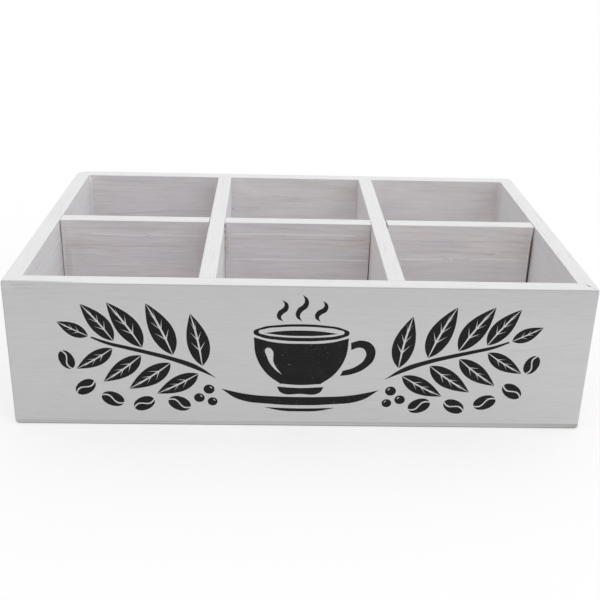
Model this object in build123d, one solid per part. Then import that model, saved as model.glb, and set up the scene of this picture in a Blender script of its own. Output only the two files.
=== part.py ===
from build123d import *
import os

# A countertop organizer with six compartments, open at the top: four walls that are
# butt-jointed on a thin plywood base, and one long divider that is cross-lapped through
# two cross dividers, all glued and held with brads.
# Millimetres. X runs along the front, Y towards the back and Z up.
# The origin is the middle of the underside.

# Overall size
WIDTH = 305.0
DEPTH = 204.0
HEIGHT = 82.5

# Stock that the pieces are cut from
WALL_THICKNESS = 9.0
LONG_DIVIDER_THICKNESS = 9.0
CROSS_DIVIDER_THICKNESS = 9.0
BASE_THICKNESS = 3.0

# Edges and corners rounded by hand sanding, once the box is glued up
BACK_LEFT_RADIUS = 7.0
BACK_RIGHT_RADIUS = 3.5
UNDERSIDE_EASE = 2.0
FRONT_EASE = 0.8
RIM_EASE = 0.5
MOUTH_EASE = 0.5

# The cross dividers should part the box in thirds, but stand a little out of place and askew:
# how far the front and the back end of each is off its line, to the right
LEFT_DIVIDER_OFFSETS = (0.25, -0.15)
RIGHT_DIVIDER_OFFSETS = (-0.6, -1.3)

# The long divider stands this far behind the middle of the box
LONG_DIVIDER_OFFSET = 0.5

# The long divider is cut a little short, and its right end out of square
LEFT_END_GAP = 0.3
RIGHT_END_GAP_TOP = 0.7
RIGHT_END_GAP_BOTTOM = 1.9

# Cross-lap joints of the dividers. Both slots in the long divider are sawn freehand: the left
# one fits closely, the right one is loose and its left side leans away towards its foot.
LEFT_SLOT_LEFT_GAP = 0.4
LEFT_SLOT_RIGHT_GAP = 0.2
RIGHT_SLOT_LEFT_GAP_TOP = 0.2
RIGHT_SLOT_LEFT_GAP_BOTTOM = 0.75
RIGHT_SLOT_RIGHT_GAP = 1.0
CROSS_SLOT_CLEARANCE = 0.3
SLOT_DEPTH_CLEARANCE = 0.5

# Brads: flat wire with a T head and a chisel point
BRAD_WIRE_WIDTH = 1.25
BRAD_WIRE_THICKNESS = 1.05
BRAD_HEAD_WIDTH = 2.0
BRAD_HEAD_HEIGHT = 0.9
BRAD_POINT_LENGTH = 2.0
BRAD_POINT_WIDTH = 0.4
WALL_BRAD_LENGTH = 22.0
BASE_BRAD_LENGTH = 15.0

# Wall brads are set deep, filled and painted over. Base brads stay open to view.
WALL_BRAD_SET = 1.0
BASE_BRAD_SET = 0.4

# Where the brads go: heights are shares of the walls' height, places along a wall are
# shares of the box's width or depth, counted from its middle
CORNER_BRAD_HEIGHT_SHARES = (0.25, 0.52, 0.80)
DIVIDER_BRAD_HEIGHT_SHARES = (0.32, 0.74)
BASE_BRAD_WIDTH_SHARES = (-0.40, -0.11, 0.11, 0.40)
BASE_BRAD_DEPTH_SHARES = (-0.26, 0.26)
LONG_DIVIDER_BASE_BRAD_SHARES = (-0.31, 0.0, 0.31)

# How far a cutting tool runs past the face that it cuts through
OVERRUN = 5.0

# Sizes that follow from the ones above
WALL_HEIGHT = HEIGHT - BASE_THICKNESS
INNER_WIDTH = WIDTH - 2 * WALL_THICKNESS
INNER_DEPTH = DEPTH - 2 * WALL_THICKNESS
LAP_LEVEL = BASE_THICKNESS + WALL_HEIGHT / 2

CROSS_DIVIDER_NAMES = ("left_cross_divider", "right_cross_divider")
THIRD_LINE = (INNER_WIDTH + CROSS_DIVIDER_THICKNESS) / 6
CELL_FRONT_TO_BACK = (
    (-INNER_DEPTH / 2, LONG_DIVIDER_OFFSET - LONG_DIVIDER_THICKNESS / 2),
    (LONG_DIVIDER_OFFSET + LONG_DIVIDER_THICKNESS / 2, INNER_DEPTH / 2),
)

# Where the middle of each cross divider meets the front panel and the back panel
CROSS_DIVIDER_ENDS = (
    [offset - THIRD_LINE for offset in LEFT_DIVIDER_OFFSETS],
    [offset + THIRD_LINE for offset in RIGHT_DIVIDER_OFFSETS],
)


def slab(x_range, y_range, z_range):
    """A straight-sided board between three pairs of coordinates."""
    corners = list(zip(x_range, y_range, z_range))
    size = [high - low for low, high in zip(*corners)]
    middle = [(low + high) / 2 for low, high in zip(*corners)]
    return Pos(*middle) * Box(*size)


def place_between(ends, y):
    """X at a place between the front and back panels, on a straight line that joins two ends."""
    front, back = ends
    return front + (back - front) * (y / INNER_DEPTH + 1 / 2)


def shifted(ends, distance):
    """The ends of a line beside another, that much further to the right."""
    return [end + distance for end in ends]


def upright(left, right, y_range, z_range):
    """An upright solid between two lines that run from front to back, each given by its ends."""
    front, back = y_range
    low, high = z_range
    outline = Polyline(
        (place_between(left, front), front),
        (place_between(right, front), front),
        (place_between(right, back), back),
        (place_between(left, back), back),
        close=True,
    )
    return Pos(0, 0, low) * extrude(make_face(outline), high - low)


def sanded_outside():
    """The outside of the whole box after sanding: back corners, underside, front and rim."""
    plan = Rectangle(WIDTH, DEPTH)
    for side, radius in ((-1, BACK_LEFT_RADIUS), (1, BACK_RIGHT_RADIUS)):
        corner = plan.vertices().sort_by_distance((side * WIDTH, DEPTH, 0))[0]
        plan = fillet(corner, radius)
    block = extrude(plan, HEIGHT)
    underside = block.faces().sort_by(Axis.Z)[0]
    block = fillet(underside.edges().sort_by(Axis.Y)[1:], UNDERSIDE_EASE)
    front = block.faces().sort_by(Axis.Y)[0]
    block = fillet(front.edges().sort_by(Axis.Z)[:-1], FRONT_EASE)
    rim = block.faces().sort_by(Axis.Z)[-1]
    return fillet(rim.edges(), RIM_EASE)


def sanded_frame(outside):
    """Walls and dividers as if they were one piece, with each compartment's mouth eased."""
    half = CROSS_DIVIDER_THICKNESS / 2
    wall = (INNER_WIDTH / 2, INNER_WIDTH / 2)
    left_sides = [shifted(wall, -INNER_WIDTH)] + [shifted(ends, half) for ends in CROSS_DIVIDER_ENDS]
    right_sides = [shifted(ends, -half) for ends in CROSS_DIVIDER_ENDS] + [wall]
    over_base = (BASE_THICKNESS, HEIGHT + OVERRUN)
    pockets = []
    for left, right in zip(left_sides, right_sides):
        pockets += [upright(left, right, y_range, over_base) for y_range in CELL_FRONT_TO_BACK]
    frame = outside - pockets
    top = frame.faces().sort_by(Axis.Z)[-1]
    mouths = [edge for wire in top.inner_wires() for edge in wire.edges()]
    return fillet(mouths, MOUTH_EASE)


def brad(length):
    """A brad with its head's top at the origin and its point down the Z axis."""
    head = BRAD_HEAD_WIDTH / 2
    wire = BRAD_WIRE_WIDTH / 2
    point = BRAD_POINT_WIDTH / 2
    outline = Polyline(
        (-head, 0),
        (head, 0),
        (head, -BRAD_HEAD_HEIGHT),
        (wire, -BRAD_HEAD_HEIGHT),
        (wire, BRAD_POINT_LENGTH - length),
        (point, -length),
        (-point, -length),
        (-wire, BRAD_POINT_LENGTH - length),
        (-wire, -BRAD_HEAD_HEIGHT),
        (-head, -BRAD_HEAD_HEIGHT),
        close=True,
    )
    return extrude(Plane.XZ * make_face(outline), BRAD_WIRE_THICKNESS / 2, both=True)


def wall_brads(face_points, outward, grain):
    """Brads driven square into a wall at points on its outer face, with their heads set."""
    spots = [Plane(origin=point, x_dir=grain, z_dir=outward) for point in face_points]
    return [spot * Pos(0, 0, -WALL_BRAD_SET) * brad(WALL_BRAD_LENGTH) for spot in spots]


def wall_levels(shares):
    """Heights above the table at shares of the walls' height."""
    return [BASE_THICKNESS + share * WALL_HEIGHT for share in shares]


def corner_brads():
    """Brads through the front and back panels into the ends of the side panels."""
    inset = (WIDTH - WALL_THICKNESS) / 2
    levels = wall_levels(CORNER_BRAD_HEIGHT_SHARES)
    brads = []
    for side in (-1, 1):
        points = [(x, side * DEPTH / 2, z) for x in (-inset, inset) for z in levels]
        brads += wall_brads(points, (0, side, 0), (1, 0, 0))
    return brads


def cross_divider_brads():
    """Brads through the front and back panels into the ends of the cross dividers."""
    levels = wall_levels(DIVIDER_BRAD_HEIGHT_SHARES)
    brads = []
    for side in (-1, 1):
        along = [place_between(ends, side * INNER_DEPTH / 2) for ends in CROSS_DIVIDER_ENDS]
        points = [(x, side * DEPTH / 2, z) for x in along for z in levels]
        brads += wall_brads(points, (0, side, 0), (1, 0, 0))
    return brads


def long_divider_brads():
    """Brads through the side panels into the ends of the long divider."""
    levels = wall_levels(DIVIDER_BRAD_HEIGHT_SHARES)
    brads = []
    for side in (-1, 1):
        points = [(side * WIDTH / 2, LONG_DIVIDER_OFFSET, z) for z in levels]
        brads += wall_brads(points, (side, 0, 0), (0, 1, 0))
    return brads


def base_brad_points():
    """Places on the underside: along each wall and under each divider."""
    along_x = [share * WIDTH for share in BASE_BRAD_WIDTH_SHARES]
    along_y = [share * DEPTH for share in BASE_BRAD_DEPTH_SHARES]
    wall_x = (WIDTH - WALL_THICKNESS) / 2
    wall_y = (DEPTH - WALL_THICKNESS) / 2
    points = [(x, y) for x in along_x for y in (-wall_y, wall_y)]
    points += [(x, y) for x in (-wall_x, wall_x) for y in along_y]
    points += [(place_between(ends, y), y) for ends in CROSS_DIVIDER_ENDS for y in along_y]
    points += [(share * WIDTH, LONG_DIVIDER_OFFSET) for share in LONG_DIVIDER_BASE_BRAD_SHARES]
    return points


def base_brads(shape):
    """Copies of a brad, or of the hole that it leaves, driven up through the base."""
    spots = [Plane(origin=(x, y, 0), x_dir=(1, 0, 0), z_dir=(0, 0, -1)) for x, y in base_brad_points()]
    return [spot * Pos(0, 0, -BASE_BRAD_SET) * shape for spot in spots]


def base_brad_hole():
    """A base brad together with the open recess that its head is set into."""
    recess = Box(
        BRAD_HEAD_WIDTH,
        BRAD_WIRE_THICKNESS,
        BASE_BRAD_SET + OVERRUN,
        align=(Align.CENTER, Align.CENTER, Align.MIN),
    )
    return brad(BASE_BRAD_LENGTH) + recess


def cross_divider(ends):
    """A board from the front panel to the back panel, slotted from below at the crossing."""
    half = CROSS_DIVIDER_THICKNESS / 2
    slot = LONG_DIVIDER_THICKNESS / 2 + CROSS_SLOT_CLEARANCE
    between_panels = (-INNER_DEPTH / 2, INNER_DEPTH / 2)
    on_base = (BASE_THICKNESS, HEIGHT)
    board = upright(shifted(ends, -half), shifted(ends, half), between_panels, on_base)
    cut = half + OVERRUN
    across = (LONG_DIVIDER_OFFSET - slot, LONG_DIVIDER_OFFSET + slot)
    lap = (BASE_THICKNESS - OVERRUN, LAP_LEVEL + SLOT_DEPTH_CLEARANCE)
    return board - upright(shifted(ends, -cut), shifted(ends, cut), across, lap)


def sawn_slot(x, left_gap_top, left_gap_bottom, right_gap):
    """What the saw takes out of the long divider for a cross divider at x."""
    left_face = x - CROSS_DIVIDER_THICKNESS / 2
    right_face = x + CROSS_DIVIDER_THICKNESS / 2
    outline = Polyline(
        (left_face - left_gap_bottom, LAP_LEVEL),
        (right_face + right_gap, LAP_LEVEL),
        (right_face + right_gap, HEIGHT + OVERRUN),
        (left_face - left_gap_top, HEIGHT + OVERRUN),
        (left_face - left_gap_top, HEIGHT),
        close=True,
    )
    return extrude(Plane.XZ * make_face(outline), LONG_DIVIDER_THICKNESS / 2 + OVERRUN, both=True)


def long_divider():
    """A board across the whole box, slotted from above for each cross divider."""
    left = LEFT_END_GAP - INNER_WIDTH / 2
    right_top = INNER_WIDTH / 2 - RIGHT_END_GAP_TOP
    right_bottom = INNER_WIDTH / 2 - RIGHT_END_GAP_BOTTOM
    outline = Polyline(
        (left, BASE_THICKNESS),
        (right_bottom, BASE_THICKNESS),
        (right_top, HEIGHT),
        (left, HEIGHT),
        close=True,
    )
    board = extrude(Plane.XZ * make_face(outline), LONG_DIVIDER_THICKNESS / 2, both=True)
    left_x, right_x = [place_between(ends, LONG_DIVIDER_OFFSET) for ends in CROSS_DIVIDER_ENDS]
    left_slot = sawn_slot(left_x, LEFT_SLOT_LEFT_GAP, LEFT_SLOT_LEFT_GAP, LEFT_SLOT_RIGHT_GAP)
    right_slot = sawn_slot(
        right_x,
        RIGHT_SLOT_LEFT_GAP_TOP,
        RIGHT_SLOT_LEFT_GAP_BOTTOM,
        RIGHT_SLOT_RIGHT_GAP,
    )
    return Pos(0, LONG_DIVIDER_OFFSET, 0) * (board - [left_slot, right_slot])


def organizer():
    """Every piece of the box, by name."""
    side_face = WIDTH / 2
    side_inner_face = INNER_WIDTH / 2
    end_face = DEPTH / 2
    end_inner_face = INNER_DEPTH / 2
    full_width = (-side_face, side_face)
    between_ends = (-end_inner_face, end_inner_face)
    on_base = (BASE_THICKNESS, HEIGHT)
    outside = sanded_outside()
    frame = sanded_frame(outside)

    raw_boards = {
        "front_panel": slab(full_width, (-end_face, -end_inner_face), on_base),
        "back_panel": slab(full_width, (end_inner_face, end_face), on_base),
        "left_side_panel": slab((-side_face, -side_inner_face), between_ends, on_base),
        "right_side_panel": slab((side_inner_face, side_face), between_ends, on_base),
        "long_divider": long_divider(),
    }
    for name, ends in zip(CROSS_DIVIDER_NAMES, CROSS_DIVIDER_ENDS):
        raw_boards[name] = cross_divider(ends)

    corner = corner_brads()
    into_cross = cross_divider_brads()
    into_long = long_divider_brads()
    from_below = base_brads(brad(BASE_BRAD_LENGTH))
    holes_from_below = base_brads(base_brad_hole())

    driven = {
        "front_panel": corner + into_cross,
        "back_panel": corner + into_cross,
        "left_side_panel": corner + into_long,
        "right_side_panel": corner + into_long,
        "long_divider": into_long,
        "left_cross_divider": into_cross,
        "right_cross_divider": into_cross,
    }
    pieces = {}
    for name, board in raw_boards.items():
        pieces[name] = (board & frame) - driven[name] - from_below
    plate = slab(full_width, (-end_face, end_face), (0, BASE_THICKNESS))
    pieces["base_panel"] = (plate & outside) - holes_from_below
    pieces["corner_brads"] = Compound(corner)
    pieces["cross_divider_brads"] = Compound(into_cross)
    pieces["long_divider_brads"] = Compound(into_long)
    pieces["base_brads"] = Compound(from_below)
    return pieces


os.makedirs("parts", exist_ok=True)
for node, shape in organizer().items():
    export_step(shape, f"parts/{node}.step")
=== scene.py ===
"""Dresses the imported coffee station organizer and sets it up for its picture.

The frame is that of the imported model, in metres: X along the front, Y towards the back, Z up
from the middle of the underside. Sizes in the classes below are millimetres in that frame, apart
from the floor's, which says that it is in metres.
"""

import logging
import math
import random
from dataclasses import dataclass, replace
from enum import Enum
from functools import reduce
from typing import Mapping, Optional, Sequence, Union

import bmesh
import bpy
from mathutils import Matrix, Vector


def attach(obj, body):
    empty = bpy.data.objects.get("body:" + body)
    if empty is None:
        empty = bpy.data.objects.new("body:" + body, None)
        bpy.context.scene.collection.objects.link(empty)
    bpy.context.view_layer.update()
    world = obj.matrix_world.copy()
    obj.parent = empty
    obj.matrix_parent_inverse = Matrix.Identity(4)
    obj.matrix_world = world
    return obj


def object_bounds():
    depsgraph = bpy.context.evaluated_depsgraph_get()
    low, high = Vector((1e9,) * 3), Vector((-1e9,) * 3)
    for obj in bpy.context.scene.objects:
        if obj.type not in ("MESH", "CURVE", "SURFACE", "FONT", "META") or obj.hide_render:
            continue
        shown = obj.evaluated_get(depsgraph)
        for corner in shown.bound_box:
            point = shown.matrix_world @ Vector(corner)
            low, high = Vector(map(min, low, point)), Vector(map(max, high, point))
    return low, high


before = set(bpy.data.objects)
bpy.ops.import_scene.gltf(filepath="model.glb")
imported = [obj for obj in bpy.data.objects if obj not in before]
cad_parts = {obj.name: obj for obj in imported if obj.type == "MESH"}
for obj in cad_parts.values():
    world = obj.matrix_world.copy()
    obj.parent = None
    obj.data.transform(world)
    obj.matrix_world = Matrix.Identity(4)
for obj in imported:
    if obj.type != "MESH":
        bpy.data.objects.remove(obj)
CAD_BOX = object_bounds()

log = logging.getLogger("organizer")

MM = 0.001
LOW, HIGH = ([round(side / MM, 3) for side in corner] for corner in CAD_BOX)
RIGHT_END = HIGH[0]
FRONT_FACE = LOW[1]
BACK_FACE = HIGH[1]
RIM = HIGH[2]
BOARD = 9.0
BASE_TOP = 3.0
WALL_INNER_X = RIGHT_END - BOARD
WALL_INNER_Y = BACK_FACE - BOARD
CELL_PITCH = (2 * WALL_INNER_X + BOARD) / 3
CELL_HALF_WIDTH = (CELL_PITCH - BOARD) / 2
CELL_MIDDLE_Y = (WALL_INNER_Y + BOARD / 2) / 2
CELL_HALF_DEPTH = (WALL_INNER_Y - BOARD / 2) / 2
LEFT_CROSSING = -49.28
LEFT_SKEW = -0.0022
RIGHT_CROSSING = 48.38
RIGHT_SKEW = -0.0038

Colour = tuple[float, float, float]
Point = tuple[float, float]
Triple = tuple[float, float, float]
Value = Union["Wire", float, Triple]


class Wire:
    """A socket of a finish, which Python's operators add Math nodes to."""

    def __init__(self, sheet: "Sheet", socket: Optional[bpy.types.NodeSocket]) -> None:
        """Keeps the socket and the sheet that it belongs to. A last node has no socket."""
        self.sheet = sheet
        self.socket = socket

    def join(self, operation: str, left: Value, right: Value) -> "Wire":
        """Adds one Math node, or one Vector Math node where a side is a vector.

        Args:
            operation: The node's operation.
            left: Its first value.
            right: Its second value.

        Returns:
            The node's result.
        """
        sides = [left, right]
        vector = any(isinstance(s, tuple) or isinstance(s, Wire) and s.is_vector() for s in sides)
        if vector:
            sides = [(s, s, s) if isinstance(s, (int, float)) else s for s in sides]
        kind = "ShaderNodeVectorMath" if vector else "ShaderNodeMath"
        return self.sheet.node(kind, {"operation": operation}, {0: sides[0], 1: sides[1]})

    def alone(self, operation: str, *more: float) -> "Wire":
        """Adds one Math node for this value and the settings after it."""
        sockets = dict(enumerate((self, *more)))
        return self.sheet.node("ShaderNodeMath", {"operation": operation}, sockets)

    def is_vector(self) -> bool:
        """Whether the socket carries a vector."""
        return self.socket.type == "VECTOR"

    def __add__(self, other: Value) -> "Wire":
        """The sum."""
        return self.join("ADD", self, other)

    __radd__ = __add__

    def __mul__(self, other: Value) -> "Wire":
        """The product."""
        return self.join("MULTIPLY", self, other)

    __rmul__ = __mul__

    def __sub__(self, other: Value) -> "Wire":
        """The difference."""
        return self.join("SUBTRACT", self, other)

    def __rsub__(self, other: Value) -> "Wire":
        """The difference, with this value taken from the other."""
        return self.join("SUBTRACT", other, self)

    def __truediv__(self, other: Value) -> "Wire":
        """The quotient."""
        return self.join("DIVIDE", self, other)

    def __abs__(self) -> "Wire":
        """The value without its sign."""
        return self.alone("ABSOLUTE")

    def most(self, other: Value) -> "Wire":
        """The larger of the two values."""
        return self.join("MAXIMUM", self, other)

    def least(self, other: Value) -> "Wire":
        """The smaller of the two values."""
        return self.join("MINIMUM", self, other)

    def root(self) -> "Wire":
        """The square root."""
        return self.alone("SQRT")

    def rest(self) -> "Wire":
        """The part after the decimal point."""
        return self.alone("FRACT")

    def length(self) -> "Wire":
        """The length of a vector."""
        return self.sheet.node("ShaderNodeVectorMath", {"operation": "LENGTH"}, {0: self}, 1)

    def wrapped(self, half: float) -> "Wire":
        """The value repeated in steps, between minus half and half a step."""
        return self.alone("WRAP", half, -half)

    def rise(self, low: float, high: float) -> "Wire":
        """A soft step from 0 at low to 1 at high, or down where low is the larger."""
        settings = {"interpolation_type": "SMOOTHSTEP"}
        return self.sheet.node("ShaderNodeMapRange", settings, {0: self, 1: low, 2: high})

    def band(self, low: float, lower: float, upper: float, high: float) -> "Wire":
        """1 from lower to upper, and softly down to 0 at low and at high."""
        return self.rise(low, lower) * self.rise(high, upper)

    def parts(self) -> tuple["Wire", "Wire", "Wire"]:
        """The three components of a vector."""
        first = self.sheet.node("ShaderNodeSeparateXYZ", {}, {0: self})
        return tuple(Wire(self.sheet, out) for out in first.socket.node.outputs)


class Sheet:
    """The node tree of one finish, or of the sky."""

    def __init__(self, owner: Union[bpy.types.Material, bpy.types.World]) -> None:
        """Empties the owner's node tree."""
        owner.use_nodes = True
        self.tree = owner.node_tree
        self.tree.nodes.clear()

    def node(
        self,
        kind: str,
        settings: Mapping[str, object],
        sockets: Mapping[Union[int, str], Value],
        output: int = 0,
    ) -> Wire:
        """Adds a node, sets it up and connects it.

        Args:
            kind: The node's type.
            settings: Its properties, set before its sockets.
            sockets: A value or a wire for each socket that isn't left as it is.
            output: Which of its outputs to return.

        Returns:
            That output, or a wire with no socket where the node has none.
        """
        made = self.tree.nodes.new(kind)
        for name, value in settings.items():
            setattr(made, name, value)
        for key, value in sockets.items():
            if isinstance(value, Wire):
                self.tree.links.new(value.socket, made.inputs[key])
            else:
                made.inputs[key].default_value = value
        return Wire(self, made.outputs[output] if made.outputs else None)

    def place(self) -> Wire:
        """The point on the object, in millimetres."""
        return self.node("ShaderNodeTexCoord", {}, {}, 3) * (1 / MM)

    def facing(self) -> Wire:
        """The direction that the surface faces."""
        return self.node("ShaderNodeTexCoord", {}, {}, 1)

    def noise(self, where: Wire, detail: float = 2.0, roughness: float = 0.5) -> Wire:
        """Soft noise about 0.5.

        Args:
            where: The point, with one unit of it to a lump.
            detail: How many finer layers of noise lie over it.
            roughness: How strong the finer layers are.

        Returns:
            The noise.
        """
        settings = {"noise_dimensions": "3D"}
        sockets = {"Vector": where, "Scale": 1.0, "Detail": detail, "Roughness": roughness}
        return self.node("ShaderNodeTexNoise", settings, sockets)

    def blend(self, first: Union[Wire, Colour], second: Union[Wire, Colour], share: Value) -> Wire:
        """One colour laid over another.

        Args:
            first: The colour below.
            second: The colour above.
            share: How much of the second shows, from 0 to 1.

        Returns:
            The mixed colour.
        """
        first, second = (c if isinstance(c, Wire) else (*c, 1.0) for c in (first, second))
        settings = {"data_type": "RGBA", "clamp_factor": True}
        return self.node("ShaderNodeMix", settings, {0: share, 6: first, 7: second}, 2)

    def bump(self, height: Wire, depth: float, strength: float) -> Wire:
        """A normal bent by a height.

        Args:
            height: The height, from 0 to 1.
            depth: What a height of 1 stands for, in millimetres.
            strength: How much of it shows.

        Returns:
            The bent normal.
        """
        sockets = {"Height": height, "Strength": strength, "Distance": depth * MM}
        return self.node("ShaderNodeBump", {}, sockets)

    def surface(self, sockets: Mapping[str, Value]) -> None:
        """Ends the sheet in a Principled surface with these sockets."""
        shader = self.node("ShaderNodeBsdfPrincipled", {}, sockets)
        self.node("ShaderNodeOutputMaterial", {}, {"Surface": shader})


@dataclass(frozen=True)
class Finish:
    """Something that a piece is painted or dressed with.

    Attributes:
        name: The material's name.
    """

    name: str

    def lay(self, sheet: Sheet) -> None:
        """Builds the finish on an empty sheet."""
        raise NotImplementedError

    def material(self) -> bpy.types.Material:
        """The finish as a new material."""
        made = bpy.data.materials.new(self.name)
        self.lay(Sheet(made))
        return made


class Grain(Enum):
    """Which axes lie along a board's fibres, across its face and through its thickness."""

    ALONG_X = (0, 2, 1)
    ALONG_Y = (1, 2, 0)


class Lumps(Enum):
    """Noise drawn out along the fibres: lumps to a millimetre along and across, and its detail."""

    SLOW = (0.012, 0.03, 2.0)
    QUICK = (0.055, 0.09, 2.0)
    FIBRES = (0.016, 0.62, 5.0)
    HAIRS = (0.045, 1.45, 3.0)
    BRUSH = (0.008, 0.28, 2.0)
    FLECKS = (0.075, 0.95, 3.0)
    DABS = (0.12, 1.5, 2.0)


class Tone(Enum):
    """What a mark on a board shows."""

    BARE = (0.50, 0.36, 0.27)
    ROSY = (0.60, 0.43, 0.38)
    GREY = (0.40, 0.37, 0.36)
    DARK = (0.13, 0.09, 0.07)
    PALE = (0.93, 0.92, 0.92)
    COOL = (0.62, 0.65, 0.67)
    DULL = (0.36, 0.33, 0.46)
    SHADED = (0.51, 0.515, 0.52)


@dataclass(frozen=True)
class Blot:
    """A round or long mark on a board: a knot, a speck, a rubbed or thinly painted place; some are
    painted light and shade.

    Attributes:
        middle: Its middle.
        reach: How far it goes each way from the middle.
        tone: What it shows.
        strength: How strongly, from 0 to 1.
        ragged: How far its edge wanders, as a share of its reach.
    """

    middle: Triple
    reach: Triple
    tone: Tone
    strength: float
    ragged: float = 0.35

    core_share = 0.55

    def mask(self, place: Wire, ragged: Wire) -> Wire:
        """Where the blot shows, and how strongly.

        Args:
            place: The point, in millimetres.
            ragged: Noise about 0 for its edge.

        Returns:
            Its share of the colour.
        """
        off = ((place - self.middle) / self.reach).length() + ragged * (2 * self.ragged)
        return off.rise(1.0, self.core_share) * self.strength


@dataclass(frozen=True)
class Streak:
    """A line in the grain.

    Attributes:
        start: Where it starts along the board.
        end: Where it ends along the board.
        height: Its height at the start.
        rise: How much higher it is at the end.
        half_width: Half its width.
        tone: What it shows.
        strength: How strongly, from 0 to 1.
    """

    start: float
    end: float
    height: float
    rise: float
    half_width: float
    tone: Tone
    strength: float

    core_share = 0.4
    longest_fade = 4.0
    fade_share = 1 / 6

    def mask(self, along: Wire, level: Wire, ragged: Wire) -> Wire:
        """Where the streak shows, and how strongly.

        Args:
            along: The distance along the board.
            level: The height across it, bent by the grain.
            ragged: Noise about 0 for its edges.

        Returns:
            Its share of the colour.
        """
        run = self.end - self.start
        fade = min(self.longest_fade, run * self.fade_share)
        centre = self.height + (along - self.start) * (self.rise / run)
        off = abs(level - centre) + ragged * self.half_width
        line = off.rise(self.half_width, self.half_width * self.core_share)
        length = along.band(self.start, self.start + fade, self.end - fade, self.end)
        return line * length * self.strength


# Marks on the front panel's front and rim
FRONT_MARKS = (
    Blot((63.5, -102.0, 75.4), (0.8, 2.0, 0.7), Tone.GREY, 0.18),
    Blot((-154.0, -102.8, 82.5), (60.0, 3.3, 0.45), Tone.SHADED, 1.0, 0.1),
    # Painted highlight at the front face's top left corner
    Blot((-149.0, -102.0, 79.5), (4.0, 1.0, 2.4), Tone.PALE, 0.16, 0.5),
    Blot((149.0, -94.6, 82.5), (0.9, 1.8, 2.0), Tone.PALE, 0.55, 0.3),
    Blot((147.6, -93.7, 82.5), (0.50, 0.9, 2.0), Tone.DARK, 0.26, 0.2),
    Blot((147.7, -96.1, 82.5), (0.65, 0.95, 2.0), Tone.DARK, 0.78, 0.2),
    Blot((148.4, -97.2, 82.5), (0.70, 0.95, 2.0), Tone.DARK, 0.80, 0.2),
    Blot((149.0, -98.4, 82.5), (0.55, 0.70, 2.0), Tone.DARK, 0.30, 0.2),
    Blot((149.3, -99.6, 82.5), (0.55, 0.60, 2.0), Tone.DARK, 0.24, 0.2),
    Blot((150.4, -100.2, 82.5), (0.75, 0.85, 2.0), Tone.GREY, 0.60, 0.2),
    Blot((-131.5, -95.9, 82.5), (0.5, 0.5, 1.0), Tone.BARE, 0.12),
    Blot((-45.0, -96.3, 82.5), (0.5, 0.4, 1.0), Tone.BARE, 0.45),
    Blot((47.3, -100.2, 82.5), (4.0, 1.2, 1.5), Tone.ROSY, 0.16),
    Blot((-139.0, -102.0, 6.5), (5.0, 2.0, 1.6), Tone.ROSY, 0.05),
)

# Streaks on the front panel's outer face
FRONT_LINES = (
    Streak(-140, -112, 38.6, 0.6, 0.5, Tone.GREY, 0.07),
    Streak(-144, -110, 31.5, -0.4, 0.5, Tone.GREY, 0.07),
    Streak(108, 152, 46.5, 5.9, 0.5, Tone.GREY, 0.12),
    Streak(-150, -118, 75.6, 1.0, 0.4, Tone.GREY, 0.10),
    Streak(-150, -128, 78.4, 0.4, 0.35, Tone.GREY, 0.16),
    Streak(-149, -133, 80.6, 0.3, 0.40, Tone.GREY, 0.26),
    Streak(-146, -137, 79.5, -0.3, 0.30, Tone.GREY, 0.16),
    Streak(96, 147, 80.9, -0.6, 0.35, Tone.GREY, 0.14),
)

# Marks on the back panel's inner face
BACK_MARKS = (
    Blot((-44.0, 93.0, 59.6), (0.5, 1.0, 0.5), Tone.DARK, 0.7),
    Blot((-60.0, 93.0, 70.0), (4.5, 1.0, 16.0), Tone.ROSY, 0.08, 0.8),
    Blot((138.5, 93.0, 70.0), (4.0, 1.0, 14.0), Tone.ROSY, 0.09, 0.8),
    # Painted light lifting the shade at the right ends of two compartments
    Blot((140.0, 93.0, 57.0), (10.0, 1.0, 10.0), Tone.PALE, 0.20, 0.5),
    Blot((40.0, 93.0, 58.0), (9.0, 1.0, 10.0), Tone.PALE, 0.16, 0.5),
    Blot((-98.0, 93.0, 62.0), (58.0, 2.0, 40.0), Tone.DULL, 0.10, 0.1),
)

# Streaks on the back panel's inner face
BACK_LINES = (
    Streak(-134, -102, 54.6, 1.6, 0.45, Tone.DARK, 0.22),
    Streak(-106, -58, 56.2, 2.0, 0.45, Tone.DARK, 0.22),
    Streak(-143, -122, 78.6, 0.2, 0.35, Tone.BARE, 0.16),
    Streak(-143, -116, 75.3, 0.3, 0.40, Tone.BARE, 0.20),
    Streak(-140, -112, 71.2, -0.3, 0.35, Tone.BARE, 0.22),
    Streak(-143, -121, 67.5, 0.2, 0.40, Tone.BARE, 0.20),
    Streak(-143, -126, 63.2, -0.2, 0.35, Tone.BARE, 0.18),
    Streak(24, 44, 72.6, 1.4, 0.40, Tone.BARE, 0.14),
    Streak(26, 43, 66.4, 0.8, 0.40, Tone.BARE, 0.14),
    Streak(118, 142, 74.5, -0.6, 0.40, Tone.BARE, 0.16),
    Streak(122, 142, 68.8, 0.4, 0.40, Tone.BARE, 0.18),
    Streak(116, 142, 62.5, -0.4, 0.40, Tone.BARE, 0.16),
    Streak(-40, -24, 60.5, -0.4, 0.35, Tone.DARK, 0.18),
)

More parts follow.
